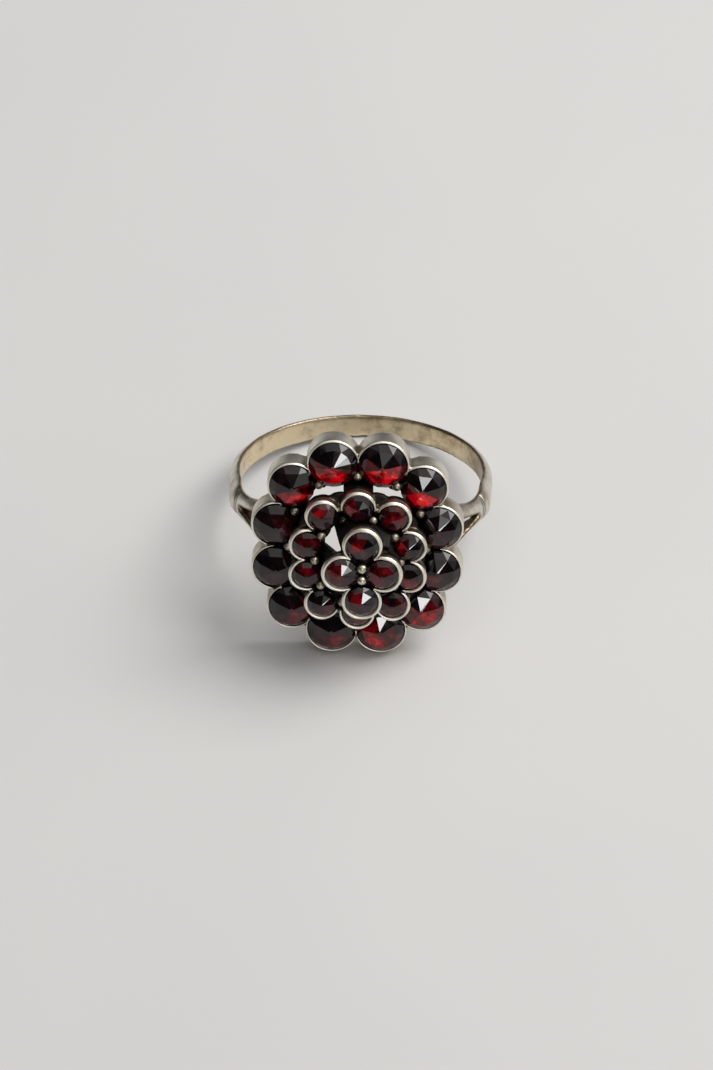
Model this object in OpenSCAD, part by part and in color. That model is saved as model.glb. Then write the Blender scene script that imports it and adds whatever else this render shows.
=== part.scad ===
// Garnet cluster ring: three stepped tiers of rose-cut stones on a forked half-round shank.
// It lies as it would by itself: on its side, on the head's lower scallops and the back of the band.
// Sizes are in millimetres. Ring axes: x across the finger, y along the finger, z out of the head.

/* [Band] */
// Inside diameter of the finger hole
finger_d = 17.5; // [16:0.25:19]
// Width of the half-round band at its back
band_w = 1.95; // [1.8:0.05:2.2]
// Thickness of the band at its ridge
band_t = 0.8; // [0.7:0.05:0.9]

/* [Forked shoulders] */
// Radius of the half-round section where the band forks
fork_r = 1.25; // [1.2:0.01:1.3]
// Ridge where the swelling ends, across from the middle of the finger hole
fork_x = 9.25; // [9.15:0.05:9.35]
// Ridge where the swelling ends, up from the middle of the finger hole towards the head
fork_z = 3.8; // [3.5:0.1:4.1]
// Ridge of each arm where it meets the head, across
foot_x = 6.1; // [6:0.05:6.2]
// How far each arm has spread where it meets the head, along the finger
foot_y = 1.3; // [1.2:0.05:1.4]
// Radius of each arm at the head
foot_r = 0.6; // [0.55:0.01:0.65]
// Half the opening between the two arms at the head
foot_open = 1.2; // [1:0.05:1.25]
// How far the fork on the -x side sits off the middle, along the finger
left_shift = -0.25; // [-0.3:0.05:0]
// How far the fork on the +x side sits off the middle, along the finger
right_shift = -0.4; // [-0.45:0.05:0]
// Angle up to which the finger hole stays round, above level
round_to = 47; // [46:1:48]
// Depth of the two lines cut round the band at each fork
line_depth = 0.08; // [0.05:0.01:0.1]

/* [Outer tier] */
// Height of the outer tier's rim above the middle of the finger hole
outer_rim = 11.0; // [10.9:0.1:11.4]
// Half width of the oval through the outer stones
outer_a = 5.77; // [5.72:0.01:5.9]
// Half length of the oval through the outer stones
outer_b = 6.6; // [6.55:0.01:6.75]
// Diameter of the two stones at each end
end_stone = 3.28; // [3.1:0.02:3.3]
// Diameter of the eight stones at the sides
side_stone = 3.1; // [3:0.02:3.12]
// Height of the outer tier's scalloped wall
outer_wall = 1.63; // [1.5:0.05:1.7]

/* [Middle tier] */
// Height of the middle tier's rim above the outer tier's rim
middle_up = 2.1; // [2:0.05:2.3]
// Half width of the oval through the middle stones
middle_a = 3.62; // [3.58:0.01:3.7]
// Half length of the oval through the middle stones
middle_b = 4.1; // [4.05:0.01:4.2]
// Diameter of the middle stones
middle_stone = 2.02; // [1.9:0.02:2.04]
// Height of the middle tier's wall
middle_wall = 1.2; // [1.1:0.05:1.3]
// The middle tier sits this far off centre, across
middle_shift = 0.1; // [0:0.05:0.15]

/* [Top tier] */
// Height of the top tier's rim above the outer tier's rim
top_up = 4.1; // [4:0.05:4.3]
// Half the distance between the two stones across
top_a = 1.42; // [1.38:0.01:1.46]
// Half the distance between the two stones along
top_b = 2.14; // [2.12:0.01:2.2]
// Diameter of the top stones
top_stone = 2.26; // [2.1:0.02:2.28]
// Height of the top tier's wall
top_wall = 1.0; // [0.95:0.05:1.1]
// The top tier sits this far off centre, across
top_shift = 0.45; // [0.3:0.05:0.5]

/* [Settings and stones] */
// Thickness of the scalloped rims
rim_t = 0.2; // [0.18:0.01:0.22]
// Thickness of each tier's plate
plate_t = 0.45; // [0.4:0.05:0.5]
// Clear gap left all round each stone
stone_gap = 0.04; // [0.03:0.01:0.05]
// Height of each stone's dome as a share of its diameter
dome_share = 0.21; // [0.18:0.01:0.24]
// Diameter of the ball grains that hold the stones
grain_d = 0.64; // [0.56:0.02:0.7]

/* [Hidden] */

$fn = 96;
finger_r = finger_d / 2;
oval_power = 2.5;          // a squarer oval than an ellipse
merge = 0.3;               // how far one soldered part runs into the next
silver_colour = "#b9b39c";
garnet_colour = "#4a0609";

// The band's half-round section is a piece of this circle
band_arc_r = (pow(band_w / 2, 2) + pow(band_t, 2)) / (2 * band_t);
band_arc_at = finger_r + band_t - band_arc_r;

// Bearings of the outer stones, from the end of the oval, for one quarter
outer_bearings = [15, 44, 73.6];

// A point of the squarish oval with half axes a and b, at a bearing from the +y end
function oval_reach(a, b, bearing) =
    pow(pow(abs(sin(bearing)) / a, oval_power) + pow(abs(cos(bearing)) / b, oval_power), -1 / oval_power);
function oval_point(a, b, bearing) = oval_reach(a, b, bearing) * [sin(bearing), cos(bearing)];

// Going round clockwise from the +y end, seen from outside the head
function outer_bearing(i) =
    let (quarter = floor(i / 3), step = i % 3)
    quarter % 2 == 0 ? 90 * quarter + outer_bearings[step] : 90 * (quarter + 1) - outer_bearings[2 - step];

outer_at = [for (i = [0 : 11]) oval_point(outer_a, outer_b, outer_bearing(i))];
outer_d = [for (i = [0 : 11]) (i + 1) % 6 < 2 ? end_stone : side_stone];
middle_at = [for (i = [0 : 9]) oval_point(middle_a, middle_b, 36 * i) + [middle_shift, 0]];
middle_d = [for (i = [0 : 9]) middle_stone];
top_at = [for (i = [0 : 3]) [top_a * sin(90 * i) + top_shift, top_b * cos(90 * i)]];
top_d = [for (i = [0 : 3]) top_stone];

// Rim heights above the middle of the finger hole
middle_rim = outer_rim + middle_up;
top_rim = outer_rim + top_up;

// Grains stand between neighbouring stones, a little inside the line through them
grain_inset = 0.27;        // share of the stone's diameter
post_d = 0.38;             // the post that carries each grain
function between(at, i) = (at[i] + at[(i + 1) % len(at)]) / 2;
function inward(at, i, centre) = (centre - between(at, i)) / norm(centre - between(at, i));
function ring_grains(at, d, centre) =
    [for (i = [0 : len(at) - 1]) between(at, i) + grain_inset * d[i] * inward(at, i, centre)];
outer_grains = ring_grains(outer_at, outer_d, [0, 0]);
middle_grains = ring_grains(middle_at, middle_d, [middle_shift, 0]);
top_grain_gap = 0.46;      // the two top grains, each side of the centre along y
top_grains = [[top_shift, top_grain_gap], [top_shift, -top_grain_gap]];

// Discs that fill each plate in between its stones, and flat struts that carry the next tier up
outer_fill_d = 1.8;
middle_fill_d = 2.3;
top_fill_d = 1;
middle_fills = [for (i = [0 : len(middle_at) - 1]) between(middle_at, i)];
strut_w = 2.1;
strut_t = 0.45;
outer_strut_bearings = [0, 60, 120, 180, 240, 300];
middle_strut_bearings = [345, 25, 58, 122, 180, 238];
// Half axes of the ovals on which the struts stand and end
outer_strut_oval = [outer_a - 1.3, outer_b - 1.3];
middle_hold_oval = [middle_a - 0.1, middle_b - 0.1];
middle_strut_oval = [middle_a - 0.9, middle_b - 0.9];
top_hold_oval = [top_a + 0.3, top_b - 0.2];

// Height of the head's lower face
head_foot = outer_rim - outer_wall;

// The arms follow the ridge line from the swelling to the head, bending out at a knee half way
arm_run = [foot_x - fork_x, head_foot - fork_z];
arm_rise = atan2(-arm_run[0], arm_run[1]);
ridge_out = [cos(arm_rise), 0, sin(arm_rise)];
knee_share = 0.55;
knee_y = 0.62;
knee_r = 0.65;
fork_y = -0.25;            // the swelling leans this far along the finger
// The inner edges are scooped out just under each fork, along this slanting line
scoop_r = 1.3;
scoop_at = [7.24, 1, 2.77];
scoop_lean = 27;
relief_in = 1.35;          // the arms are this deep at the head
joint_swell = 0.02;        // joints stand this proud of the bars they join
split_share = 0.1;         // the opening starts this far along the arms
line_w = 0.12;             // width of each cut line
line_gap = 0.24;           // from one line to the next

// Rest pose: the head's lower scallops and the back of the band touch the surface
head_reach = outer_at[0][1] + (end_stone / 2 + stone_gap + rim_t);
rest_step = 0.001;
// Lowest point of the band's round section for a given tilt, in the ring's own y and z
function band_low(tilt) = -band_arc_r - band_arc_at * sin(tilt);
function head_low(tilt) = -head_reach * cos(tilt) + head_foot * sin(tilt);
function find_tilt(low, high) =
    high - low < rest_step ? (low + high) / 2
    : let (mid = (low + high) / 2)
      head_low(mid) < band_low(mid) ? find_tilt(mid, high) : find_tilt(low, mid);
rest_tilt = find_tilt(5, 40);
rest_z = -head_low(rest_tilt);

// Middle of the whole ring front to back once it lies down
crown_top = top_rim - stone_gap + dome_share * top_stone;
front_y = -top_b * sin(rest_tilt) - crown_top * cos(rest_tilt);
back_y = band_arc_at * cos(rest_tilt) + band_arc_r;
rest_y = -(front_y + back_y) / 2;

module lie_down() {
    translate([0, rest_y, rest_z]) rotate([90 - rest_tilt, 0, 0]) children();
}

// Flat outline of a tier: one disc for each stone, and one at each place to be filled in
module tier_outline(at, d, fills, fill_d) {
    for (i = [0 : len(at) - 1])
        translate(at[i]) circle(d = d[i] + 2 * (stone_gap + rim_t));
    for (f = fills)
        translate(f) circle(d = fill_d);
}

// Room for the stones of a tier, joined from one to the next
module tier_seats(at, d) {
    for (i = [0 : len(at) - 1])
        translate(at[i]) circle(d = d[i] + 2 * stone_gap);
    polygon(at);
}

// One tier: plate with its open middle, scalloped wall outside and grains inside
module tier(at, d, grains, fills, fill_d, rim, wall) {
    translate([0, 0, rim - wall])
        linear_extrude(plate_t) tier_outline(at, d, fills, fill_d);
    translate([0, 0, rim - wall])
        linear_extrude(wall) difference() {
            tier_outline(at, d, [], 0);
            tier_seats(at, d);
        }
    difference() {
        union() {
            for (g = grains) {
                translate([g[0], g[1], rim - wall + plate_t / 2])
                    cylinder(d = post_d, h = wall - plate_t / 2 - stone_gap);
                translate([g[0], g[1], rim - stone_gap]) sphere(d = grain_d);
            }
        }
        stone_rooms(at, d, rim, wall);
    }
}

// Room for each stone above its plate, cut from the grains and struts beside it
module stone_rooms(at, d, rim, wall) {
    for (i = [0 : len(at) - 1])
        translate([at[i][0], at[i][1], rim - wall + plate_t])
            cylinder(d = d[i] + 2 * stone_gap, h = wall - plate_t + dome_share * d[i]);
}

// A round bar between two points of the ring
module bar(from, to, r1, r2) {
    way = to - from;
    translate(from)
        rotate([0, acos(way[2] / norm(way)), atan2(way[1], way[0])])
            cylinder(h = norm(way), r1 = r1, r2 = r2);
}

// Flat struts from one plate to the next, leaning in; each tier is given by its half axes,
// the height of its lower face and its shift across
module struts(bearings, low_oval, low_z, low_shift, high_oval, high_z, high_shift) {
    for (bearing = bearings) {
        low = oval_point(low_oval[0], low_oval[1], bearing) + [low_shift, 0];
        high = oval_point(high_oval[0], high_oval[1], bearing) + [high_shift, 0];
        across = norm(high - low);
        up = high_z - low_z;
        translate([low[0], low[1], low_z + plate_t / 2])
            rotate([0, atan2(across, up), atan2(high[1] - low[1], high[0] - low[0])])
                translate([-strut_t / 2, -strut_w / 2, 0]) cube([strut_t, strut_w, norm([across, up])]);
    }
}

// Back half of the band, running a little way up into both shoulders
module band_back() {
    into = 6;              // degrees
    rotate([90, 0, 0]) rotate_extrude(angle = 180 + 2 * into, start = 180 - into)
        intersection() {
            translate([band_arc_at, 0]) circle(r = band_arc_r);
            translate([finger_r - band_t / 2, -band_w]) square([band_w, 2 * band_w]);
        }
}

// Middle of an arm of radius r at a share of the way along it
function arm_at(share, y, r) =
    [fork_x + share * arm_run[0], y, fork_z + share * arm_run[1]] - r * ridge_out;

// One forked shoulder on the +x side: a swelling half-round bar, then two arms to the head
module shoulder(shift) {
    fork = arm_at(0, fork_y, fork_r);
    past_foot = 1 + merge / arm_run[1];
    difference() {
        union() {
            bar([band_arc_at, 0, 0], fork, band_arc_r + joint_swell, fork_r);
            translate(fork) sphere(r = fork_r + joint_swell);
            for (side = [-1, 1]) {
                knee = arm_at(knee_share, fork_y + side * knee_y, knee_r);
                bar(fork, knee, fork_r, knee_r);
                translate(knee) sphere(r = knee_r + joint_swell);
                bar(knee, arm_at(past_foot, fork_y + side * foot_y, foot_r), knee_r, foot_r);
            }
        }
        // Looking at the ridge from outside, up the arms
        translate(arm_at(0, 0, 0)) rotate([0, -arm_rise, 0]) {
            split(shift);
            cut_line(split_share * norm(arm_run));
            cut_line(split_share * norm(arm_run) - line_gap);
        }
        scoop();
        mirror([0, 1, 0]) scoop();
        // Ends inside the head's plate
        translate([0, -fork_x / 2, head_foot + merge]) cube([fork_x, fork_x, fork_r]);
    }
}

// The wedge-shaped opening between two arms, in the frame of the ridge line
module split(shift) {
    reach = 1.5 * norm(arm_run);
    start = split_share * norm(arm_run);
    half = foot_open * (reach - start) / (norm(arm_run) - start);
    translate([-3 * fork_r, 0, 0]) rotate([90, 0, 90])
        linear_extrude(4 * fork_r)
            polygon([[shift, start], [shift + half, reach], [shift - half, reach]]);
}

// Rounds off the inner edge of the swelling on the +y side
module scoop() {
    translate(scoop_at) rotate([-scoop_lean, 0, 0]) cylinder(r = scoop_r, h = 4.5 * scoop_r, center = true);
}

// A shallow line round the bar, at a height along the ridge line
module cut_line(up) {
    translate([-fork_r, fork_y, up - line_w / 2]) difference() {
        cylinder(r = 1.5 * fork_r, h = line_w);
        translate([0, 0, -line_w]) cylinder(r = fork_r - line_depth, h = 3 * line_w);
    }
}

// Clears the inner side of the arms above the round part of the finger hole
module arm_relief() {
    edge = finger_r * [cos(round_to), sin(round_to)];
    foot = [foot_x - relief_in, head_foot];
    rotate([90, 0, 0]) linear_extrude(finger_r, center = true)
        polygon([[0, 0], edge, foot, foot + [0, finger_r], [0, head_foot + finger_r]]);
}

// Everything metal is soldered together: band, forks, three tiers, legs and grains
module silver_mount() {
    color(silver_colour) lie_down() {
        difference() {
            union() {
                band_back();
                shoulder(right_shift);
                mirror([1, 0, 0]) shoulder(left_shift);
            }
            rotate([90, 0, 0]) cylinder(r = finger_r, h = finger_r, center = true);
            arm_relief();
            mirror([1, 0, 0]) arm_relief();
        }
        tier(outer_at, outer_d, outer_grains, outer_grains, outer_fill_d, outer_rim, outer_wall);
        tier(middle_at, middle_d, middle_grains, middle_fills, middle_fill_d, middle_rim, middle_wall);
        tier(top_at, top_d, top_grains, top_grains, top_fill_d, top_rim, top_wall);
        difference() {
            struts(outer_strut_bearings, outer_strut_oval, outer_rim - outer_wall, 0,
                   middle_hold_oval, middle_rim - middle_wall, middle_shift);
            stone_rooms(outer_at, outer_d, outer_rim, outer_wall);
        }
        difference() {
            struts(middle_strut_bearings, middle_strut_oval, middle_rim - middle_wall, middle_shift,
                   top_hold_oval, top_rim - top_wall, top_shift);
            stone_rooms(middle_at, middle_d, middle_rim, middle_wall);
        }
    }
}

// Rose-cut stone: flat base, round girdle, sixteen lower and eight upper facets round a small table.
// Radii of its rings as shares of the stone's radius, and heights as shares of its dome or depth
base_ring = 0.86;
waist_drop = 0.35;
girdle_lip = 0.06;         // the girdle's own height, in millimetres
star_ring = 0.62;
star_rise = 0.72;
table_ring = 0.13;

module rose_cut(d, depth) {
    r = d / 2;
    dome = dome_share * d;
    // Columns: radius, height, how many points, turn
    rings = [
        [base_ring * r, -depth, 16, 0],
        [r, -waist_drop * depth, 16, 0],
        [r, girdle_lip, 16, 0],
        [star_ring * r, star_rise * dome, 8, 0],
        [table_ring * r, dome, 8, 22.5]];
    points = [for (k = rings) for (i = [0 : k[2] - 1])
        let (turn = 360 * i / k[2] + k[3]) [k[0] * cos(turn), k[0] * sin(turn), k[1]]];
    // First point of each ring
    base = 0;
    waist = 16;
    girdle = 32;
    star = 48;
    table = 56;
    faces = concat(
        [[for (i = [0 : 15]) base + i]],
        [for (i = [0 : 15]) let (n = (i + 1) % 16) [base + i, waist + i, waist + n, base + n]],
        [for (i = [0 : 15]) let (n = (i + 1) % 16) [waist + i, girdle + i, girdle + n, waist + n]],
        [for (i = [0 : 7]) [girdle + 2 * i, star + i, girdle + 2 * i + 1]],
        [for (i = [0 : 7]) let (n = (i + 1) % 8) [girdle + 2 * i + 1, star + n, girdle + 2 * n]],
        [for (i = [0 : 7]) let (n = (i + 1) % 8) [girdle + 2 * i + 1, star + i, star + n]],
        [for (i = [0 : 7]) let (n = (i + 1) % 8) [star + i, table + i, star + n]],
        [for (i = [0 : 7]) let (n = (i + 1) % 8) [star + n, table + i, table + n]],
        [[for (i = [7 : -1 : 0]) table + i]]);
    polyhedron(points, faces);
}

// One stone of a tier, standing just clear of the tier's plate
module seated_stone(at, d, i, rim, wall) {
    color(garnet_colour) lie_down()
        translate([at[i][0], at[i][1], rim - stone_gap])
            rotate(90 - atan2(at[i][0], at[i][1])) rose_cut(d[i], wall - plate_t - 2 * stone_gap);
}

silver_mount();
for (i = [0 : 11])
    seated_stone(outer_at, outer_d, i, outer_rim, outer_wall);
for (i = [0 : 9])
    seated_stone(middle_at, middle_d, i, middle_rim, middle_wall);
for (i = [0 : 3])
    seated_stone(top_at, top_d, i, top_rim, top_wall);
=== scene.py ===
import math
import random

import bmesh
import bpy
import numpy
from mathutils import Matrix, Vector, noise


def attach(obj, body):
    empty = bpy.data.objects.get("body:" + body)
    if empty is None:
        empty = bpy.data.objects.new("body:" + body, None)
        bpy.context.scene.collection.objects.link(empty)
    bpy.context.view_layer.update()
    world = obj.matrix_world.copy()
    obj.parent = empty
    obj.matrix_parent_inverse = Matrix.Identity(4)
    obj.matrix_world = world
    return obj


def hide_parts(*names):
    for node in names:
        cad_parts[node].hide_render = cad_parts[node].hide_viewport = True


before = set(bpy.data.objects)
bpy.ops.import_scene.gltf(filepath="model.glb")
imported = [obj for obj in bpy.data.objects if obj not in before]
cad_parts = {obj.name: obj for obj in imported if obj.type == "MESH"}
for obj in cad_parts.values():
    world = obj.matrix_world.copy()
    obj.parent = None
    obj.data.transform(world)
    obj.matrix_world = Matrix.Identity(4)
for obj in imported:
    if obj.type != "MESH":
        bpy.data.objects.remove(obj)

bpy.context.view_layer.update()

mm = 0.001
scene = bpy.context.scene
scene.view_settings.view_transform = "Standard"

# The ring lies on its side. In its own frame x runs across the head, y along the finger
# and z out through the head; these three values lay that frame down on the floor.
rest = {"lean": 22.088, "back": 3.13856, "up": 4.21146}
lieDown = (Matrix.Translation((0, rest["back"] * mm, rest["up"] * mm))
           @ Matrix.Rotation(math.radians(90 - rest["lean"]), 4, "X")
           @ Matrix.Scale(mm, 4))
outOfHead = (lieDown.to_3x3() @ Vector((0, 0, 1))).normalized()


def onRing(x, y, z):
    return lieDown @ Vector((x, y, z))


# an output socket that can be added, multiplied and so on
class Wire:
    def __init__(self, net, socket):
        self.net = net
        self.socket = socket

    def sum(self, operation, first, second):
        return self.net.make("ShaderNodeMath", {"operation": operation}, {0: first, 1: second})

    def __add__(self, other):
        return self.sum("ADD", self, other)

    def __radd__(self, other):
        return self.sum("ADD", other, self)

    def __sub__(self, other):
        return self.sum("SUBTRACT", self, other)

    def __rsub__(self, other):
        return self.sum("SUBTRACT", other, self)

    def __mul__(self, other):
        return self.sum("MULTIPLY", self, other)

    def __rmul__(self, other):
        return self.sum("MULTIPLY", other, self)

    def __truediv__(self, other):
        return self.sum("DIVIDE", self, other)

    def __rtruediv__(self, other):
        return self.sum("DIVIDE", other, self)


# a node tree under construction
class Net:
    def __init__(self, tree):
        self.tree = tree

    def make(self, kind, settings=None, sockets=None, out=0):
        node = self.tree.nodes.new(kind)
        for key, value in (settings or {}).items():
            setattr(node, key, value)
        for key, value in (sockets or {}).items():
            if isinstance(value, Wire):
                self.tree.links.new(value.socket, node.inputs[key])
            else:
                node.inputs[key].default_value = value
        return Wire(self, node.outputs[out])

    def smooth(self, value, low, high):
        return self.make("ShaderNodeMapRange", {"interpolation_type": "SMOOTHSTEP"},
                         {"Value": value, "From Min": low, "From Max": high})

    def blend(self, share, first, second, how="MIX"):
        return self.make("ShaderNodeMix", {"data_type": "RGBA", "blend_type": how},
                         {0: share, 6: first, 7: second}, out=2)

    def larger(self, first, second):
        return self.make("ShaderNodeMath", {"operation": "MAXIMUM"}, {0: first, 1: second})


def startMaterial(name):
    material = bpy.data.materials.new(name)
    material.use_nodes = True
    net = Net(material.node_tree)
    surface = material.node_tree.nodes["Principled BSDF"]
    return material, net, surface


def feed(net, surface, **links):
    for name, wire in links.items():
        net.tree.links.new(wire.socket, surface.inputs[name.replace("_", " ")])


def startTree(name, inputs):
    tree = bpy.data.node_groups.new(name, "GeometryNodeTree")
    tree.interface.new_socket("Geometry", in_out="INPUT", socket_type="NodeSocketGeometry")
    for label, kind in inputs.items():
        tree.interface.new_socket(label, in_out="INPUT", socket_type="NodeSocket" + kind)
    tree.interface.new_socket("Geometry", in_out="OUTPUT", socket_type="NodeSocketGeometry")
    net = Net(tree)
    entry = tree.nodes.new("NodeGroupInput")
    wires = {socket.name: Wire(net, socket) for socket in entry.outputs if socket.name}
    return net, wires


def endTree(net, geometry):
    leave = net.tree.nodes.new("NodeGroupOutput")
    net.tree.links.new(geometry.socket, leave.inputs[0])
    return net.tree


def runTree(piece, tree, values):
    modifier = piece.modifiers.new("build", "NODES")
    modifier.node_group = tree
    for item in tree.interface.items_tree:
        if item.in_out == "INPUT" and item.name in values:
            modifier[item.identifier] = values[item.name]
    bake(piece)


def bake(piece):
    graph = bpy.context.evaluated_depsgraph_get()
    mesh = bpy.data.meshes.new_from_object(piece.evaluated_get(graph), depsgraph=graph)
    piece.modifiers.clear()
    old = piece.data
    piece.data = mesh
    bpy.data.meshes.remove(old)
    mesh.name = piece.name


def newPiece(name, verts=(), edges=(), faces=()):
    mesh = bpy.data.meshes.new(name)
    mesh.from_pydata([tuple(v) for v in verts], list(edges), list(faces))
    piece = bpy.data.objects.new(name, mesh)
    scene.collection.objects.link(piece)
    return piece


def meshFrom(work, name):
    mesh = bpy.data.meshes.new(name)
    work.to_mesh(mesh)
    work.free()
    piece = bpy.data.objects.new(name, mesh)
    scene.collection.objects.link(piece)
    return piece


# where the stones sit, in millimetres from the middle of the finger hole
outerTier = {"rim": 11.0, "halfAcross": 5.77, "halfAlong": 6.6, "power": 2.5, "wall": 1.63,
             "bearings": (15, 44, 73.6), "atEnds": (0, 5, 6, 11), "endStone": 3.28,
             "sideStone": 3.1}
middleTier = {"rim": 13.1, "halfAcross": 3.62, "halfAlong": 4.1, "shift": 0.1, "wall": 1.2,
              "stones": 10, "stone": 2.02}
topTier = {"rim": 15.1, "halfAcross": 1.42, "halfAlong": 2.14, "shift": 0.45, "wall": 1.0,
           "stones": 4, "stone": 2.26}
seat = {"rimThick": 0.2, "gap": 0.04, "plate": 0.45, "grainIn": 0.27}


def ovalPoint(across, along, power, bearing):
    sine = math.sin(math.radians(bearing))
    cosine = math.cos(math.radians(bearing))
    reach = ((abs(sine) / across) ** power + (abs(cosine) / along) ** power) ** (-1 / power)
    return Vector((reach * sine, reach * cosine))


def outerSeats(tier):
    quarter = list(tier["bearings"])
    half = quarter + [180 - b for b in reversed(quarter)]
    bearings = half + [180 + b for b in half]
    seats = []
    for i, bearing in enumerate(bearings):
        at = ovalPoint(tier["halfAcross"], tier["halfAlong"], tier["power"], bearing)
        size = tier["endStone"] if i in tier["atEnds"] else tier["sideStone"]
        seats.append((at, size))
    return seats


def middleSeats(tier):
    apart = 360 / tier["stones"]
    seats = []
    for i in range(tier["stones"]):
        at = ovalPoint(tier["halfAcross"], tier["halfAlong"], outerTier["power"], apart * i)
        seats.append((at + Vector((tier["shift"], 0)), tier["stone"]))
    return seats


def topSeats(tier):
    seats = []
    for i in range(tier["stones"]):
        turn = math.radians(90 * i)
        at = Vector((tier["halfAcross"] * math.sin(turn), tier["halfAlong"] * math.cos(turn)))
        seats.append((at + Vector((tier["shift"], 0)), tier["stone"]))
    return seats


tiers = {
    "outer": (outerTier, outerSeats(outerTier)),
    "middle": (middleTier, middleSeats(middleTier)),
    "top": (topTier, topSeats(topTier)),
}


# tones of the metal; the darkest is painted shade for recesses and the cut lines, and the darker
# grain tone is painted shade for grains down in the head
silverLook = {
    "bright": (0.72, 0.68, 0.60),
    "rubbed": (0.88, 0.83, 0.73),
    "warm": (0.52, 0.46, 0.35),
    "straw": (0.80, 0.66, 0.43),
    "brown": (0.24, 0.17, 0.10),
    "paintedShade": (0.022, 0.020, 0.018),
    "shadedGrain": (0.24, 0.21, 0.17),
}

# how many times each pattern of the silver repeats in a metre
silverPattern = {"clouds": 420, "blotch": 900, "broad": 190, "pits": 7000,
                 "scratches": (1200, 9000, 6000)}


# painted shade darkens the metal from where recess is shutFrom and is full at shutTo; warmth,
# scratch and brown are shares, and rough is the roughness of clean metal
def silverFinish(name, shutFrom, shutTo, warmth, scratch, brown=0.0, walls=True, rough=0.33,
                 bright="bright"):
    material, net, surface = startMaterial(name)
    place = net.make("ShaderNodeTexCoord", out=3)
    turned = net.make("ShaderNodeMapping", {}, {
        "Vector": place, "Rotation": (math.radians(rest["lean"] - 90), 0, 0)})
    recess = net.make("ShaderNodeAttribute", {"attribute_name": "recess"}, out=2)
    clouds = net.make("ShaderNodeTexNoise", {}, {
        "Vector": turned, "Scale": silverPattern["clouds"], "Detail": 5, "Roughness": 0.6})
    blotch = net.make("ShaderNodeTexNoise", {}, {
        "Vector": turned, "Scale": silverPattern["blotch"], "Detail": 4, "Roughness": 0.65})
    stretched = net.make("ShaderNodeMapping", {}, {
        "Vector": turned, "Rotation": (0.3, 0.5, 0.9),
        "Scale": silverPattern["scratches"]})
    scratches = net.make("ShaderNodeTexNoise", {}, {
        "Vector": stretched, "Scale": 1.0, "Detail": 3, "Roughness": 0.7})
    pits = net.make("ShaderNodeTexNoise", {}, {
        "Vector": turned, "Scale": silverPattern["pits"], "Detail": 3, "Roughness": 0.6})

    warmMask = net.smooth(clouds, 0.62 - 0.3 * warmth, 0.85 - 0.25 * warmth)
    colour = net.blend(warmMask, (*silverLook[bright], 1), (*silverLook["warm"], 1))
    if brown:
        inner = net.make("ShaderNodeAttribute", {"attribute_name": "inner"}, out=2)
        colour = net.blend(inner * 0.85, colour, (*silverLook["straw"], 1))
        broad = net.make("ShaderNodeTexNoise", {}, {
            "Vector": turned, "Scale": silverPattern["broad"], "Detail": 3, "Roughness": 0.6})
        across = net.make("ShaderNodeSeparateXYZ", {}, {"Vector": turned})
        # painted shade on the right of the inner face, which turns away from the light
        rightShade = net.smooth(across, 0.001, 0.009) * inner
        # brown tarnish in patches, with that painted shade added in
        brownAndShadeMask = net.smooth(blotch * 0.3 + clouds * 0.3 + broad * 0.4 + rightShade * 0.10,
                               0.49, 0.64) * brown
        # painted shade in the grooves: the two cut lines take the near-black tone
        line = net.make("ShaderNodeAttribute", {"attribute_name": "line"}, out=2)
        colour = net.blend(brownAndShadeMask * (0.25 + inner * 0.75), colour,
                           (*silverLook["brown"], 1))
        colour = net.blend(line * 0.85, colour, (*silverLook["paintedShade"], 1))
    # painted shade: the near-black tone goes where the rays found the point shut in
    paintedShadeMask = net.smooth(recess + (blotch - 0.5) * 0.35, shutFrom, shutTo)
    if walls:
        wall = net.make("ShaderNodeAttribute", {"attribute_name": "wall"}, out=2)
        # wall lifts the painted shade on the worn outside of the walls and the shank
        wornAndLit = net.smooth(wall + (clouds - 0.5) * 0.3, 0.1, 0.8)
        paintedShadeMask = 1 - wornAndLit * (1 - paintedShadeMask)
        # brown grime in blotches, plus painted shade: more brown where recess is high
        grimeAndShade = net.smooth(blotch * 0.55 + clouds * 0.35 + recess * 0.7, 0.38, 0.80) * 0.8
        colour = net.blend(grimeAndShade, colour, (*silverLook["brown"], 1))
    colour = net.blend(paintedShadeMask, colour, (*silverLook["paintedShade"], 1))
    lines = net.smooth(scratches, 0.60, 0.72) * scratch
    roughness = rough + (blotch - 0.5) * 0.3 + paintedShadeMask * 0.15 - lines * 0.08
    height = pits * 0.35 + scratches * 0.65
    bump = net.make("ShaderNodeBump", {}, {
        "Strength": 0.10 + 0.12 * scratch, "Distance": 0.00003, "Height": height})
    feed(net, surface, Base_Color=colour, Roughness=roughness, Normal=bump)
    surface.inputs["Metallic"].default_value = 1.0
    return material


shankSilver = silverFinish("worn_shank_silver", shutFrom=0.60, shutTo=1.0, warmth=0.55,
                           scratch=0.5, brown=0.65)
gallerySilver = silverFinish("sooty_gallery_silver", shutFrom=0.70, shutTo=1.05, warmth=0.75,
                             scratch=0.8)
rimSilver = silverFinish("rubbed_rim_silver", shutFrom=0.75, shutTo=1.1, warmth=0.35,
                         scratch=0.25, walls=False, rough=0.40, bright="rubbed")
grainSilver = silverFinish("grain_silver", shutFrom=0.15, shutTo=0.75, warmth=0.9,
                           scratch=0.3, walls=False)
# a darker copy of the grain silver: painted shade for the grains down in the head
shadedGrainSilver = silverFinish("dim_grain_silver", shutFrom=0.10, shutTo=0.45, warmth=0.9,
                              scratch=0.3, walls=False, rough=0.42, bright="shadedGrain")


# lift is in millimetres, and the blurs are rounds
closeness = {"rays": 18, "lift": 0.06, "blur": 3, "edgeBlur": 2}


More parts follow.
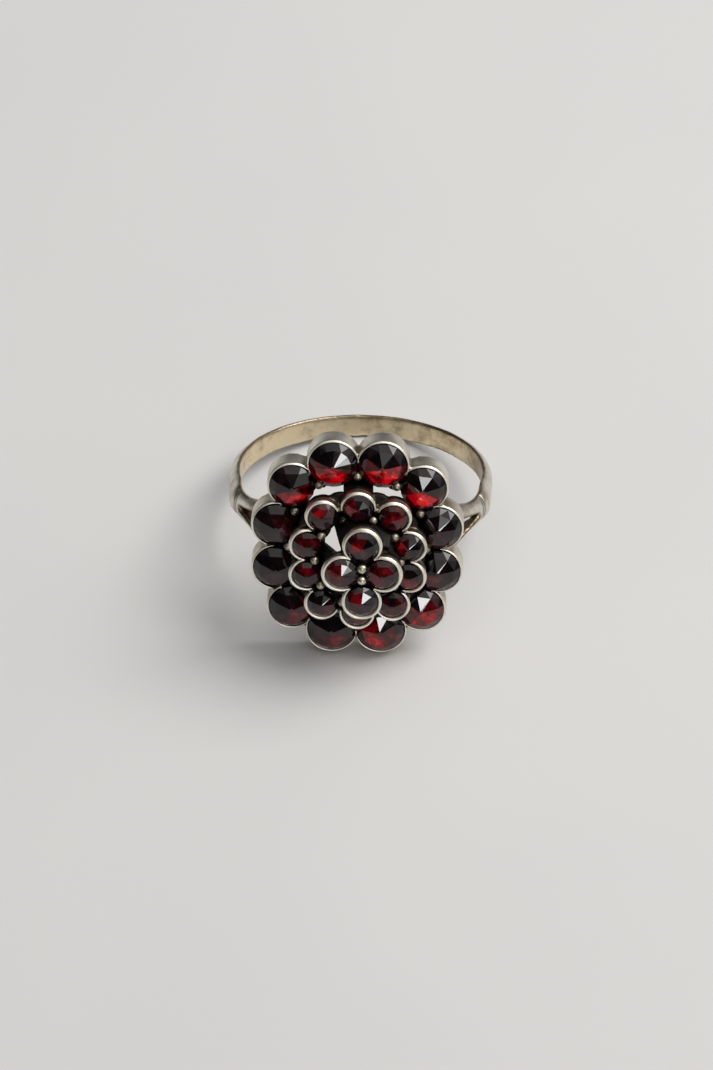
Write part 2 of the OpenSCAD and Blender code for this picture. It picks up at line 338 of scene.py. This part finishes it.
# how closed in each point is, from rays sent out all round: 0 open, 1 shut in
def recessTree():
    net, given = startTree("recess", {"Blocks": "Object", "Reach": "Float"})
    blocks = net.make("GeometryNodeObjectInfo", {"transform_space": "ORIGINAL"},
                      {"Object": given["Blocks"]}, out=4)
    normal = net.make("GeometryNodeInputNormal")
    place = net.make("GeometryNodeInputPosition")
    lift = net.make("ShaderNodeVectorMath", {"operation": "SCALE"},
                    {0: normal, "Scale": closeness["lift"] * mm})
    start = net.make("ShaderNodeVectorMath", {"operation": "ADD"}, {0: place, 1: lift})
    count = closeness["rays"]
    hits = None
    weight = None
    for i in range(count):
        rise = 1 - 2 * (i + 0.5) / count
        turn = i * math.pi * (3 - math.sqrt(5))
        flat = math.sqrt(1 - rise * rise)
        way = (flat * math.cos(turn), flat * math.sin(turn), rise)
        aim = net.make("ShaderNodeVectorMath", {"operation": "DOT_PRODUCT"},
                       {0: normal, 1: way}, out=1)
        facing = net.larger(aim, 0.0)
        hit = net.make("GeometryNodeRaycast", {}, {
            "Target Geometry": blocks, "Source Position": start,
            "Ray Direction": way, "Ray Length": given["Reach"]})
        part = facing * hit
        hits = part if hits is None else hits + part
        weight = facing if weight is None else weight + facing
    shut = hits / net.larger(weight, 0.01)
    soft = net.make("GeometryNodeBlurAttribute", {}, {"Value": shut, "Iterations": closeness["blur"]})
    kept = net.make("GeometryNodeStoreNamedAttribute", {"data_type": "FLOAT", "domain": "POINT"},
                    {"Geometry": given["Geometry"], "Name": "recess", "Value": soft})
    for label in ("wall", "inner"):
        sharp = net.make("GeometryNodeInputNamedAttribute", {"data_type": "FLOAT"},
                         {"Name": label})
        spread = net.make("GeometryNodeBlurAttribute", {},
                          {"Value": sharp, "Iterations": closeness["edgeBlur"]})
        kept = net.make("GeometryNodeStoreNamedAttribute",
                        {"data_type": "FLOAT", "domain": "POINT"},
                        {"Geometry": kept, "Name": label, "Value": spread})
    return endTree(net, kept)


# two fine lines cut round the outside of each arm, where it leaves the shank
armLines = {"startAcross": 9.25, "startOut": 3.8, "endAcross": 6.1, "endOut": 9.37,
            "along": (0.40, 0.64), "halfWidth": 0.06, "depth": 0.05, "outward": (-0.1, 0.3)}

# dimming darkens the outside of each tier's walls towards their bottom as painted shade: how much,
# and where it starts and is full, in shares of the wall's height
body = {"voxel": 0.0865, "smoothing": 3, "unevenness": 0.018, "wave": 1.3, "reach": 2.6,
        "cuts": (9.25, 11.5, 13.6), "shankSmoothing": 70,
        "dimming": {"outer": (0.35, 0.3, 1.0), "middle": (1.0, 0.42, 0.64),
                    "top": (1.0, 0.38, 0.62)}}


def mergedCopy(nodes, name):
    work = bmesh.new()
    for node in nodes:
        work.from_mesh(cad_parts[node].data)
    bmesh.ops.remove_doubles(work, verts=work.verts, dist=2e-6)
    return meshFrom(work, name)


def easeBetween(values, low, high):
    share = numpy.clip((values - low) / (high - low), 0, 1)
    return share * share * (3 - 2 * share)


def onRingArrays(places, normals):
    back = numpy.array(lieDown.inverted())
    turn = numpy.array(lieDown.to_3x3().inverted()) * mm
    return places @ back[:3, :3].T + back[:3, 3], normals @ turn.T


def lineMask(spots, facing):
    run = Vector((armLines["endAcross"] - armLines["startAcross"],
                  armLines["endOut"] - armLines["startOut"])).normalized()
    across = numpy.abs(spots[:, 0]) - armLines["startAcross"]
    out = spots[:, 2] - armLines["startOut"]
    along = across * run.x + out * run.y
    outward = facing[:, 0] * numpy.sign(spots[:, 0]) * run.y - facing[:, 2] * run.x
    mask = numpy.zeros(len(spots))
    for place in armLines["along"]:
        mask += numpy.exp(-((along - place) / armLines["halfWidth"]) ** 2)
    low = spots[:, 2] < body["cuts"][0]
    shown = easeBetween(outward, *armLines["outward"])
    return (numpy.clip(mask, 0, 1) * shown * low).astype(numpy.float32)


# one more strut between the two upper plates, which half fills the opening on the left
leftStrut = {"low": (-2.62, 0.095, 12.125), "high": (-1.27, 0.06, 14.325), "wide": 2.1,
             "thick": 0.45}


def addStrut(piece, strut):
    work = bmesh.new()
    work.from_mesh(piece.data)
    low, high = Vector(strut["low"]), Vector(strut["high"])
    run = high - low
    turn = run.to_track_quat("Z", "Y").to_matrix().to_4x4()
    size = Matrix.Diagonal((strut["wide"], strut["thick"], run.length, 1))
    put = lieDown @ Matrix.Translation((low + high) / 2) @ turn @ size
    bmesh.ops.create_cube(work, size=1, matrix=put)
    work.to_mesh(piece.data)
    work.free()


def roundedMount():
    piece = mergedCopy(["silver_mount"], "mount")
    addStrut(piece, leftStrut)
    remesh = piece.modifiers.new("even", "REMESH")
    remesh.mode = "VOXEL"
    remesh.voxel_size = body["voxel"] * mm
    remesh.use_smooth_shade = True
    smooth = piece.modifiers.new("soften", "SMOOTH")
    smooth.factor = 0.5
    smooth.iterations = body["smoothing"]
    bake(piece)
    lower = piece.vertex_groups.new(name="shank")
    back = lieDown.inverted()
    heights = [(back @ vertex.co).z for vertex in piece.data.vertices]
    lower.add([i for i, height in enumerate(heights) if height < body["cuts"][0]], 1.0, "ADD")
    rounding = piece.modifiers.new("round", "SMOOTH")
    rounding.factor = 0.5
    rounding.iterations = body["shankSmoothing"]
    rounding.vertex_group = "shank"
    bake(piece)
    mesh = piece.data
    places = numpy.empty(len(mesh.vertices) * 3, numpy.float32)
    normals = numpy.empty(len(mesh.vertices) * 3, numpy.float32)
    mesh.vertices.foreach_get("co", places)
    mesh.vertex_normals.foreach_get("vector", normals)
    places = places.reshape(-1, 3)
    spots = places / (body["wave"] * mm)
    rise = numpy.array([noise.noise(spot) for spot in spots.tolist()], numpy.float32)
    rise *= body["unevenness"]
    lines = lineMask(*onRingArrays(places, normals.reshape(-1, 3)))
    rise -= lines * armLines["depth"]
    places += normals.reshape(-1, 3) * rise[:, None] * mm
    mesh.vertices.foreach_set("co", places.ravel())
    mesh.update()
    return piece


# each pair is where a change begins and where it is complete
wearAndShade = {"wallEdge": (0.04, 0.14), "outward": (0.0, 0.35), "pastStones": (0.96, 1.02),
        "facingDown": (0.4, 0.8), "backShare": 0.75, "insideShare": 0.3, "backUpTo": 10.3,
        "facingFinger": (0.3, 0.8), "slack": 0.02, "seam": 0.06}


# wall is 1 where the silver is worn bright and free of painted shade: the outside of the scalloped
# walls and the shank, darker towards the bottom of each wall as painted shade;
# inner is 1 on the face that touches the finger, and line in the two cut lines
def markWearAndShade(piece):
    mesh = piece.data
    count = len(mesh.vertices)
    places = numpy.empty(count * 3, numpy.float32)
    normals = numpy.empty(count * 3, numpy.float32)
    mesh.vertices.foreach_get("co", places)
    mesh.vertex_normals.foreach_get("vector", normals)
    spots, facing = onRingArrays(places.reshape(-1, 3), normals.reshape(-1, 3))
    low, mid, high = body["cuts"]
    foot = outerTier["rim"] - outerTier["wall"]
    wall = (spots[:, 2] < foot - wearAndShade["slack"]).astype(numpy.float32)
    slabs = {"outer": (low - wearAndShade["seam"], mid), "middle": (mid, high), "top": (high, 99)}
    for name, (under, over) in slabs.items():
        tier, seats = tiers[name]
        centre = numpy.array((tier.get("shift", 0), 0))
        here = (spots[:, 2] >= under) & (spots[:, 2] < over)
        flat = spots[:, :2] - centre
        reach = numpy.linalg.norm(flat, axis=1) + 1e-6
        outward = (facing[:, :2] * flat).sum(axis=1) / reach
        nearest = numpy.full(count, 99.0)
        ownReach = numpy.zeros(count)
        for at, size in seats:
            away = numpy.linalg.norm(spots[:, :2] - numpy.array(at), axis=1)
            away -= size / 2 + seat["gap"]
            closer = away < nearest
            nearest[closer] = away[closer]
            ownReach[closer] = (at - Vector(centre)).length
        outside = easeBetween(nearest, *wearAndShade["wallEdge"])
        outside *= easeBetween(outward, *wearAndShade["outward"])
        outside *= easeBetween(reach / ownReach, *wearAndShade["pastStones"])
        depth = (tier["rim"] - spots[:, 2]) / tier["wall"]
        # painted shade: the outside of each wall is darker towards its bottom
        share, fadeFrom, fadeTo = body["dimming"][name]
        outside *= 1 - share * easeBetween(depth, fadeFrom, fadeTo)
        wall[here] = outside[here]
    # undersides stay a worn grey: most on the head's back, less on the plates inside it
    under = easeBetween(-facing[:, 2], *wearAndShade["facingDown"])
    greyShare = numpy.where(spots[:, 2] < wearAndShade["backUpTo"], wearAndShade["backShare"],
                            wearAndShade["insideShare"])
    wall = numpy.maximum(wall, under * greyShare)
    across = numpy.linalg.norm(spots[:, [0, 2]], axis=1) + 1e-6
    inward = -(facing[:, [0, 2]] * spots[:, [0, 2]]).sum(axis=1) / across
    inner = easeBetween(inward, *wearAndShade["facingFinger"]) * (spots[:, 2] < low)
    lines = lineMask(spots, facing)
    for label, values in (("wall", wall), ("inner", inner), ("line", lines)):
        layer = mesh.attributes.new(label, "FLOAT", "POINT")
        layer.data.foreach_set("value", values.astype(numpy.float32))


def keepSlab(piece, name, low, high, material):
    work = bmesh.new()
    work.from_mesh(piece.data)
    for height, above in ((low, True), (high, False)):
        if height is None:
            continue
        cut = bmesh.ops.bisect_plane(
            work, geom=work.verts[:] + work.edges[:] + work.faces[:], dist=1e-8,
            plane_co=onRing(0, 0, height), plane_no=outOfHead,
            clear_inner=above, clear_outer=not above)
        rim = [g for g in cut["geom_cut"] if isinstance(g, bmesh.types.BMEdge)]
        bmesh.ops.holes_fill(work, edges=rim, sides=0)
    bmesh.ops.triangulate(work, faces=[f for f in work.faces if len(f.verts) > 4])
    slab = meshFrom(work, name)
    slab.data.materials.append(material)
    slab.data.polygons.foreach_set("use_smooth", [True] * len(slab.data.polygons))
    return slab


mount = roundedMount()
print("mount evened out:", len(mount.data.polygons), "faces")
markWearAndShade(mount)
blocks = mergedCopy(sorted(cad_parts), "blocks")
runTree(mount, recessTree(), {"Blocks": blocks, "Reach": body["reach"] * mm})
bpy.data.objects.remove(blocks)
low, mid, high = body["cuts"]
silverPieces = [
    keepSlab(mount, "shank_and_arms", None, low, shankSilver),
    keepSlab(mount, "outer_gallery", low, mid, gallerySilver),
    keepSlab(mount, "middle_gallery", mid, high, gallerySilver),
    keepSlab(mount, "top_gallery", high, None, gallerySilver),
]
bpy.data.objects.remove(mount)
for piece in silverPieces:
    print("silver piece", piece.name, len(piece.data.polygons), "faces")


# rounded rims along the tops of the walls, tapering to each end
rims = {"outer": 0.095, "middle": 0.150, "top": 0.17, "taper": 0.32, "thin": 0.42,
        "slimBelow": {"outer": 0.4, "middle": 0.12, "top": 0.12}, "steps": 44, "sides": 10,
        "short": {"outer": 6, "middle": 8, "top": 6}, "waver": 0.012, "lumps": 0.06,
        "sunk": 0.4}


def rimTree(material):
    net, given = startTree("rimBeads", {"Sides": "Int"})
    path = net.make("GeometryNodeMeshToCurve", {}, {"Mesh": given["Geometry"]})
    ring = net.make("GeometryNodeCurvePrimitiveCircle", {},
                    {"Resolution": given["Sides"], "Radius": 1.0})
    thick = net.make("GeometryNodeInputNamedAttribute", {"data_type": "FLOAT"}, {"Name": "thick"})
    bead = net.make("GeometryNodeCurveToMesh", {}, {
        "Curve": path, "Profile Curve": ring, "Scale": thick, "Fill Caps": True})
    soft = net.make("GeometryNodeSetShadeSmooth", {}, {"Geometry": bead})
    real = net.make("GeometryNodeRealizeInstances", {}, {"Geometry": soft})
    done = net.make("GeometryNodeSetMaterial", {}, {"Geometry": real, "Material": material})
    return endTree(net, done)


def rimPaths(name, tier, seats):
    verts, edges, thick = [], [], []
    chance = random.Random(len(seats))
    count = len(seats)
    for i, (at, size) in enumerate(seats):
        before = seats[i - 1][0] - at
        after = seats[(i + 1) % count][0] - at
        start = math.atan2(before.x, before.y)
        end = math.atan2(after.x, after.y)
        while end < start:
            end += 2 * math.pi
        short = math.radians(rims["short"][name])
        start, end = start + short, end - short
        reach = size / 2 + seat["gap"] + seat["rimThick"] / 2
        radius = rims[name]
        wobble = chance.uniform(0, 6)
        for step in range(rims["steps"] + 1):
            share = step / rims["steps"]
            bearing = start + (end - start) * share
            spread = reach + rims["waver"] * math.sin(3 * bearing + wobble)
            height = tier["rim"] - rims["sunk"] * radius
            height += rims["waver"] * math.sin(2 * bearing + wobble)
            verts.append(onRing(at.x + spread * math.sin(bearing),
                                at.y + spread * math.cos(bearing), height))
            slim = 1 - rims["slimBelow"][name] * max(0.0, -math.cos(bearing))
            edge = min(share, 1 - share)
            full = min(1.0, edge / rims["taper"])
            swell = rims["thin"] + (1 - rims["thin"]) * math.sin(full * math.pi / 2)
            lump = 1 + rims["lumps"] * math.sin(5 * bearing + wobble)
            thick.append(radius * mm * swell * slim * lump)
            if step:
                edges.append((len(verts) - 2, len(verts) - 1))
    piece = newPiece(name + "_rims", verts, edges)
    held = piece.data.attributes.new("thick", "FLOAT", "POINT")
    held.data.foreach_set("value", thick)
    return piece


def grainTree(material):
    net, given = startTree("grainBeads", {"Width": "Float"})
    ball = net.make("GeometryNodeMeshIcoSphere", {}, {"Radius": 0.5, "Subdivisions": 4})
    size = net.make("GeometryNodeInputNamedAttribute", {"data_type": "FLOAT"}, {"Name": "size"})
    beads = net.make("GeometryNodeInstanceOnPoints", {}, {
        "Points": given["Geometry"], "Instance": ball,
        "Scale": size * given["Width"]})
    real = net.make("GeometryNodeRealizeInstances", {}, {"Geometry": beads})
    soft = net.make("GeometryNodeSetShadeSmooth", {}, {"Geometry": real})
    done = net.make("GeometryNodeSetMaterial", {}, {"Geometry": soft, "Material": material})
    return endTree(net, done)


grains = {"width": {"outer": 0.66, "middle": 0.62, "top": 0.74}, "topAcross": 0.46,
          "lift": 0.02, "uneven": (0.94, 1.06)}


def grainPlaces(name, tier, seats):
    if name == "top":
        return [Vector((tier["shift"], grains["topAcross"])),
                Vector((tier["shift"], -grains["topAcross"]))]
    centre = Vector((tier.get("shift", 0), 0))
    places = []
    for i, (at, size) in enumerate(seats):
        after, sizeAfter = seats[(i + 1) % len(seats)]
        middle = (at + after) / 2
        inward = (centre - middle).normalized()
        places.append(middle + inward * seat["grainIn"] * (size + sizeAfter) / 2)
    return places


rimMaker = rimTree(rimSilver)
# the grains of the outer and middle tiers take the painted-shade copy
grainMaker = {"outer": grainTree(shadedGrainSilver), "middle": grainTree(shadedGrainSilver),
              "top": grainTree(grainSilver)}
chance = random.Random(11)
for name, (tier, seats) in tiers.items():
    rim = rimPaths(name, tier, seats)
    runTree(rim, rimMaker, {"Sides": rims["sides"]})
    silverPieces.append(rim)
    height = tier["rim"] - seat["gap"] + grains["lift"]
    places = [onRing(p.x, p.y, height) for p in grainPlaces(name, tier, seats)]
    bead = newPiece(name + "_grains", places)
    held = bead.data.attributes.new("size", "FLOAT", "POINT")
    held.data.foreach_set("value", [chance.uniform(*grains["uneven"]) for p in places])
    runTree(bead, grainMaker[name], {"Width": grains["width"][name] * mm})
    silverPieces.append(bead)
print("rims and grains made")

for piece in silverPieces:
    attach(piece, "root")
    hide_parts("silver_mount")


# how the stones are cut, mostly in shares of their half width; proud and wider are millimetres
gemCut = {"dome": 0.42, "table": 0.10, "star": 0.76, "starHeight": 0.64, "girdle": 0.03,
          "waist": 0.35, "waistWidth": 0.97, "base": 0.86,
          "proud": {"outer": 0.06, "middle": 0.02, "top": 0.02},
          "wider": {"outer": 0.05, "middle": 0.02, "top": 0.02},
          "windowNormal": (0.0987, 0.2116, 0.9724), "dullest": 0.6}

# dark is the garnet's own colour; plum, red and vivid are painted light on chosen facets
gemLook = {
    "dark": (0.006, 0.002, 0.003),
    "plum": (0.048, 0.010, 0.016),
    "red": (0.26, 0.001, 0.004),
    "vivid": (0.85, 0.003, 0.012),
}

# how many times each pattern of the garnet repeats in a metre
gemPattern = {"flaws": 1500, "patches": 1900, "murk": 1100}

# how strongly each painted tone comes in, plum reflection on the lower side and the red glow of light
# passing through, and where the glow fades
gemPaintedLight = {"reach": 1.25, "luck": (0.55, 1.15), "plum": 0.7, "red": 1.8, "vivid": 1.4,
           "vividFrom": 0.45, "crown": 0.5, "table": 0.5}

# one row for each stone, clockwise from the top: bearing of the facet that faces the window,
# how far the stone leans up the finger and across, how sharply that facet shines (0 to 1),
# the bearing of the painted red glow of light passing through the stone, how strong it is,
# how far round it reaches, and the number of large facets
stoneRows = {
    "outer": ((12, 0, 0, 0.25, 185, 1.40, 90, 8), (8, 0, 0, 0.72, 190, 1.50, 80, 8),
              (24, 0, 0, 0.45, 200, 0.06, 60, 9), (12, 0, 0, 0.05, 215, 0.20, 60, 8),
              (10, 0, 0, 1.00, 170, 0.75, 120, 8), (5, 0, 0, 1.00, 220, 0.66, 130, 10),
              (2, 2, 0, 0.0, 175, 0.34, 90, 8), (47, 2, 2, 0.0, 130, 0.30, 110, 8),
              (2, 5, 0, 0.0, 180, 0.01, 60, 8), (47, 5, 1, 0.0, 60, 0.08, 70, 8),
              (45, 0, 0, 0.15, 165, 1.15, 75, 8), (62, 0, 0, 0.72, 195, 1.50, 80, 15)),
    "middle": ((48, 0, 0, 0.40, 285, 0.80, 60, 8), (2, 4, 0, 0.0, 300, 0.38, 200, 8),
               (24, 0, 0, 0.20, 270, 0.45, 80, 8), (47, 4, 0, 0.0, 200, 0.34, 100, 8),
               (2, 4, 0, 0.0, 180, 0.33, 150, 8), (47, 4, 0, 0.0, 180, 0.15, 90, 8),
               (26, 0, 0, 0.15, 150, 0.26, 80, 9), (2, 4, 0, 0.0, 0, 0.28, 100, 8),
               (47, 4, 0, 0.0, 350, 0.36, 110, 8), (53, 0, 0, 0.10, 330, 0.42, 100, 8)),
    "top": ((47, 3, 0, 0.0, 300, 0.42, 75, 8), (2, 4, 0, 0.0, 300, 0.34, 130, 8),
            (29, 0, 0, 1.00, 310, 0.34, 80, 8), (45, 0, 0, 0.60, 285, 0.40, 80, 12)),
}


def gemFinish():
    material, net, surface = startMaterial("dark_garnet")
    tint = net.make("ShaderNodeAttribute", {"attribute_name": "tint"}, out=0)
    place = net.make("ShaderNodeTexCoord", out=3)
    flaws = net.make("ShaderNodeTexNoise", {}, {
        "Vector": place, "Scale": gemPattern["flaws"], "Detail": 3, "Roughness": 0.6})
    patches = net.make("ShaderNodeTexVoronoi", {"feature": "F1"}, {
        "Vector": place, "Scale": gemPattern["patches"], "Randomness": 1.0}, out=1)
    patch = net.make("ShaderNodeSeparateColor", {}, {"Color": patches})
    murk = net.make("ShaderNodeTexNoise", {}, {
        "Vector": place, "Scale": gemPattern["murk"], "Detail": 2, "Roughness": 0.5})
    strength = (0.30 + patch * 1.1 + flaws * 0.3) * (0.35 + net.smooth(murk, 0.38, 0.60) * 0.9)
    grey = net.make("ShaderNodeCombineColor", {}, {
        "Red": strength, "Green": strength, "Blue": strength})
    colour = net.blend(1.0, tint, grey, "MULTIPLY")
    dull = net.make("ShaderNodeAttribute", {"attribute_name": "dull"}, out=2)
    smear = net.smooth(flaws, 0.45, 0.8)
    roughness = 0.03 + smear * 0.03 + dull
    feed(net, surface, Base_Color=colour, Roughness=roughness)
    surface.inputs["IOR"].default_value = 1.54
    return material


def mixRow(share, first, second):
    share = max(0.0, min(1.0, share))
    return [a + (b - a) * share for a, b in zip(first, second)]


def cutStone(name, level, tier, at, size, row, material, node):
    facetAt, leanUp, leanAcross, shine, glowAt, glow, spread, count = row
    half = size / 2 + gemCut["wider"][level]
    depth = tier["wall"] - seat["plate"] - 2 * seat["gap"]
    work = bmesh.new()
    layer = work.faces.layers.float_color.new("tint")
    dullness = work.faces.layers.float.new("dull")

    def ringOf(points, radius, height, turn):
        loop = []
        for i in range(points):
            bearing = math.radians(facetAt + turn) + 2 * math.pi * i / points
            loop.append(work.verts.new((radius * math.sin(bearing),
                                        radius * math.cos(bearing), height)))
        return loop

    dome = gemCut["dome"] * half
    wide = 360 / count
    table = ringOf(count, gemCut["table"] * half, dome, wide / 2)
    star = ringOf(count, gemCut["star"] * half, dome * gemCut["starHeight"], wide / 2)
    girdle = ringOf(2 * count, half, gemCut["girdle"] * half, 0)
    edge = ringOf(2 * count, half, -gemCut["girdle"] * half, 0)
    waist = ringOf(2 * count, gemCut["waistWidth"] * half, -gemCut["waist"] * depth, 0)
    base = ringOf(2 * count, gemCut["base"] * half, -depth, 0)
    if shine > 0:
        # the two outer corners of the first facet go onto the plane that faces the window
        normal = Vector(gemCut["windowNormal"]).normalized()
        first, last = star[-1], star[0]
        inner = (table[-1].co + table[0].co) / 2
        for corner in (first, last):
            run = corner.co - inner
            corner.co.z = inner.z - (normal.x * run.x + normal.y * run.y) / normal.z
    kinds = {}

    def face(loop, kind):
        kinds[work.faces.new(loop)] = kind

    face(list(reversed(table)), "table")
    for i in range(count):
        j = (i + 1) % count
        face((table[i], star[j], star[i]), "star")
        face((table[i], table[j], star[j]), "star")
        here = (2 * i + 1) % (2 * count)
        mid, after = (here + 1) % (2 * count), (here + 2) % (2 * count)
        face((star[i], star[j], girdle[mid]), "crown")
        face((star[i], girdle[mid], girdle[here]), "crown")
        face((star[j], girdle[after], girdle[mid]), "crown")
    for upper, lower in ((girdle, edge), (edge, waist), (waist, base)):
        for i in range(2 * count):
            j = (i + 1) % (2 * count)
            face((upper[i], upper[j], lower[j], lower[i]), "under")
    face(base, "under")
    bmesh.ops.recalc_face_normals(work, faces=work.faces)

    chance = random.Random(node)
    # facets on the lower side get a painted plum reflection, facets near glowAt a painted red glow of
    # light passing through, and the undersides keep the stone's own dark colour
    for facet, kind in kinds.items():
        middle = facet.calc_center_median()
        bearing = math.degrees(math.atan2(middle.x, middle.y))
        down = max(0.0, -math.cos(math.radians(bearing)))
        off = abs((bearing - glowAt + 180) % 360 - 180)
        near = max(0.0, min(1.0, gemPaintedLight["reach"] - off / spread))
        luck = chance.uniform(*gemPaintedLight["luck"])
        hot = glow * near * luck
        shade = mixRow(down * gemPaintedLight["plum"], gemLook["dark"], gemLook["plum"])
        if kind == "star":
            shade = mixRow(hot * gemPaintedLight["red"], shade, gemLook["red"])
            shade = mixRow(hot * gemPaintedLight["vivid"] - gemPaintedLight["vividFrom"], shade,
                           gemLook["vivid"])
        elif kind == "crown":
            shade = mixRow(hot * gemPaintedLight["crown"], shade, gemLook["red"])
        elif kind == "table":
            shade = mixRow(glow * gemPaintedLight["table"], shade, gemLook["red"])
        else:
            shade = gemLook["dark"]
        facet[layer] = (*shade, 1)
        turned = abs((bearing - facetAt + 180) % 360 - 180)
        lit = kind == "star" and turned < 5 and shine > 0
        facet[dullness] = gemCut["dullest"] * (1 - shine) if lit else 0.0

    lean = (Matrix.Rotation(math.radians(leanUp), 4, "X")
            @ Matrix.Rotation(math.radians(leanAcross), 4, "Y"))
    height = tier["rim"] - seat["gap"] + gemCut["proud"][level]
    put = Matrix.Translation((at.x, at.y, height)) @ lean
    bmesh.ops.transform(work, matrix=lieDown @ put, verts=work.verts)
    piece = meshFrom(work, name)
    piece.data.materials.append(material)
    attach(piece, "root")
    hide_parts(node)
    return piece


garnet = gemFinish()
for name, (tier, seats) in tiers.items():
    for i, (at, size) in enumerate(seats):
        node = f"top_stone_{i + 1}" if name == "top" else f"{name}_stone_{i + 1:02d}"
        cutStone(f"{name}_garnet_{i + 1:02d}", name, tier, at, size, stoneRows[name][i],
                 garnet, node)
print("stones cut")


# floor, light and camera
floorLook = {"tones": ((0.60, 0.60, 0.60, 1), (0.66, 0.655, 0.65, 1)), "halfSide": 1.2}
room = {"brightWay": (0.35, 0.0, 0.93), "low": (0.035, 0.035, 0.038, 1),
        "high": (1.15, 1.13, 1.1, 1), "reach": (0.25, 1.0), "strength": 0.8}
# sizes in metres, power in watts; the small window's way is turned from the ring's frame
windows = {
    "window": {"way": Vector((0.70, 0.22, 1.0)), "size": 0.38, "power": 2.0,
               "colour": (1.0, 0.985, 0.96), "diffuse": True},
    "small_window": {"way": lieDown.to_3x3() @ Vector((0.172, -0.047, 0.984)), "size": 0.10,
                     "power": 0.42, "colour": (1.0, 1.0, 1.0), "diffuse": False},
}
windowsAway = 0.5
headHeight = 11  # millimetres from the middle of the finger hole to the outer rim
# angles in degrees, distance in metres, and the rest in pixels of the picture
view = {"up": 27.07, "side": -1.2, "distance": 0.33, "wide": 713, "high": 1070,
        "pixelsPerMm": 14.21, "middle": (357, 547.7), "sensor": 36}


def layFloor():
    material, net, surface = startMaterial("pale_floor")
    place = net.make("ShaderNodeTexCoord", out=3)
    cloud = net.make("ShaderNodeTexNoise", {}, {"Vector": place, "Scale": 30, "Detail": 2})
    colour = net.blend(cloud, *floorLook["tones"])
    feed(net, surface, Base_Color=colour)
    surface.inputs["Roughness"].default_value = 0.9
    side = floorLook["halfSide"]
    floor = newPiece("floor", [(-side, -side, 0), (side, -side, 0), (side, side, 0),
                               (-side, side, 0)], faces=[(0, 1, 2, 3)])
    floor.data.materials.append(material)


def softWorld():
    world = bpy.data.worlds.new("room")
    scene.world = world
    world.use_nodes = True
    net = Net(world.node_tree)
    way = net.make("ShaderNodeTexCoord", out=0)
    towards = Vector(room["brightWay"]).normalized()
    lit = net.make("ShaderNodeVectorMath", {"operation": "DOT_PRODUCT"},
                   {0: way, 1: towards}, out=1)
    share = net.smooth(lit, *room["reach"])
    colour = net.blend(share, room["low"], room["high"])
    background = world.node_tree.nodes["Background"]
    net.tree.links.new(colour.socket, background.inputs["Color"])
    background.inputs["Strength"].default_value = room["strength"]


def softLight(name, way, size, power, colour, diffuse):
    data = bpy.data.lights.new(name, "AREA")
    data.shape = "DISK"
    data.size = size
    data.energy = power
    data.color = colour
    light = bpy.data.objects.new(name, data)
    scene.collection.objects.link(light)
    aim = way.normalized()
    light.location = onRing(0, 0, headHeight) + aim * windowsAway
    light.rotation_euler = (-aim).to_track_quat("-Z", "Y").to_euler()
    light.visible_diffuse = diffuse
    light.visible_camera = False


def setCamera():
    lookAt = onRing(0, 0, headHeight)
    up, side = math.radians(view["up"]), math.radians(view["side"])
    towards = Vector((-math.sin(side) * math.cos(up), math.sin(up),
                      math.cos(up) * math.cos(side)))
    towards = (lieDown.to_3x3() @ towards).normalized()
    data = bpy.data.cameras.new("camera")
    camera = bpy.data.objects.new("camera", data)
    scene.collection.objects.link(camera)
    camera.location = lookAt + towards * view["distance"]
    camera.rotation_euler = (-towards).to_track_quat("-Z", "Y").to_euler()
    wide, high = view["wide"], view["high"]
    data.sensor_fit = "VERTICAL"
    data.sensor_height = view["sensor"]
    data.lens = view["pixelsPerMm"] * view["distance"] / mm * view["sensor"] / high
    data.shift_x = -(view["middle"][0] - wide / 2) / high
    data.shift_y = (view["middle"][1] - high / 2) / high
    data.clip_start = 0.01
    data.clip_end = 10
    scene.camera = camera


layFloor()
softWorld()
for name, window in windows.items():
    softLight(name, **window)
setCamera()
print("floor, light and camera ready")
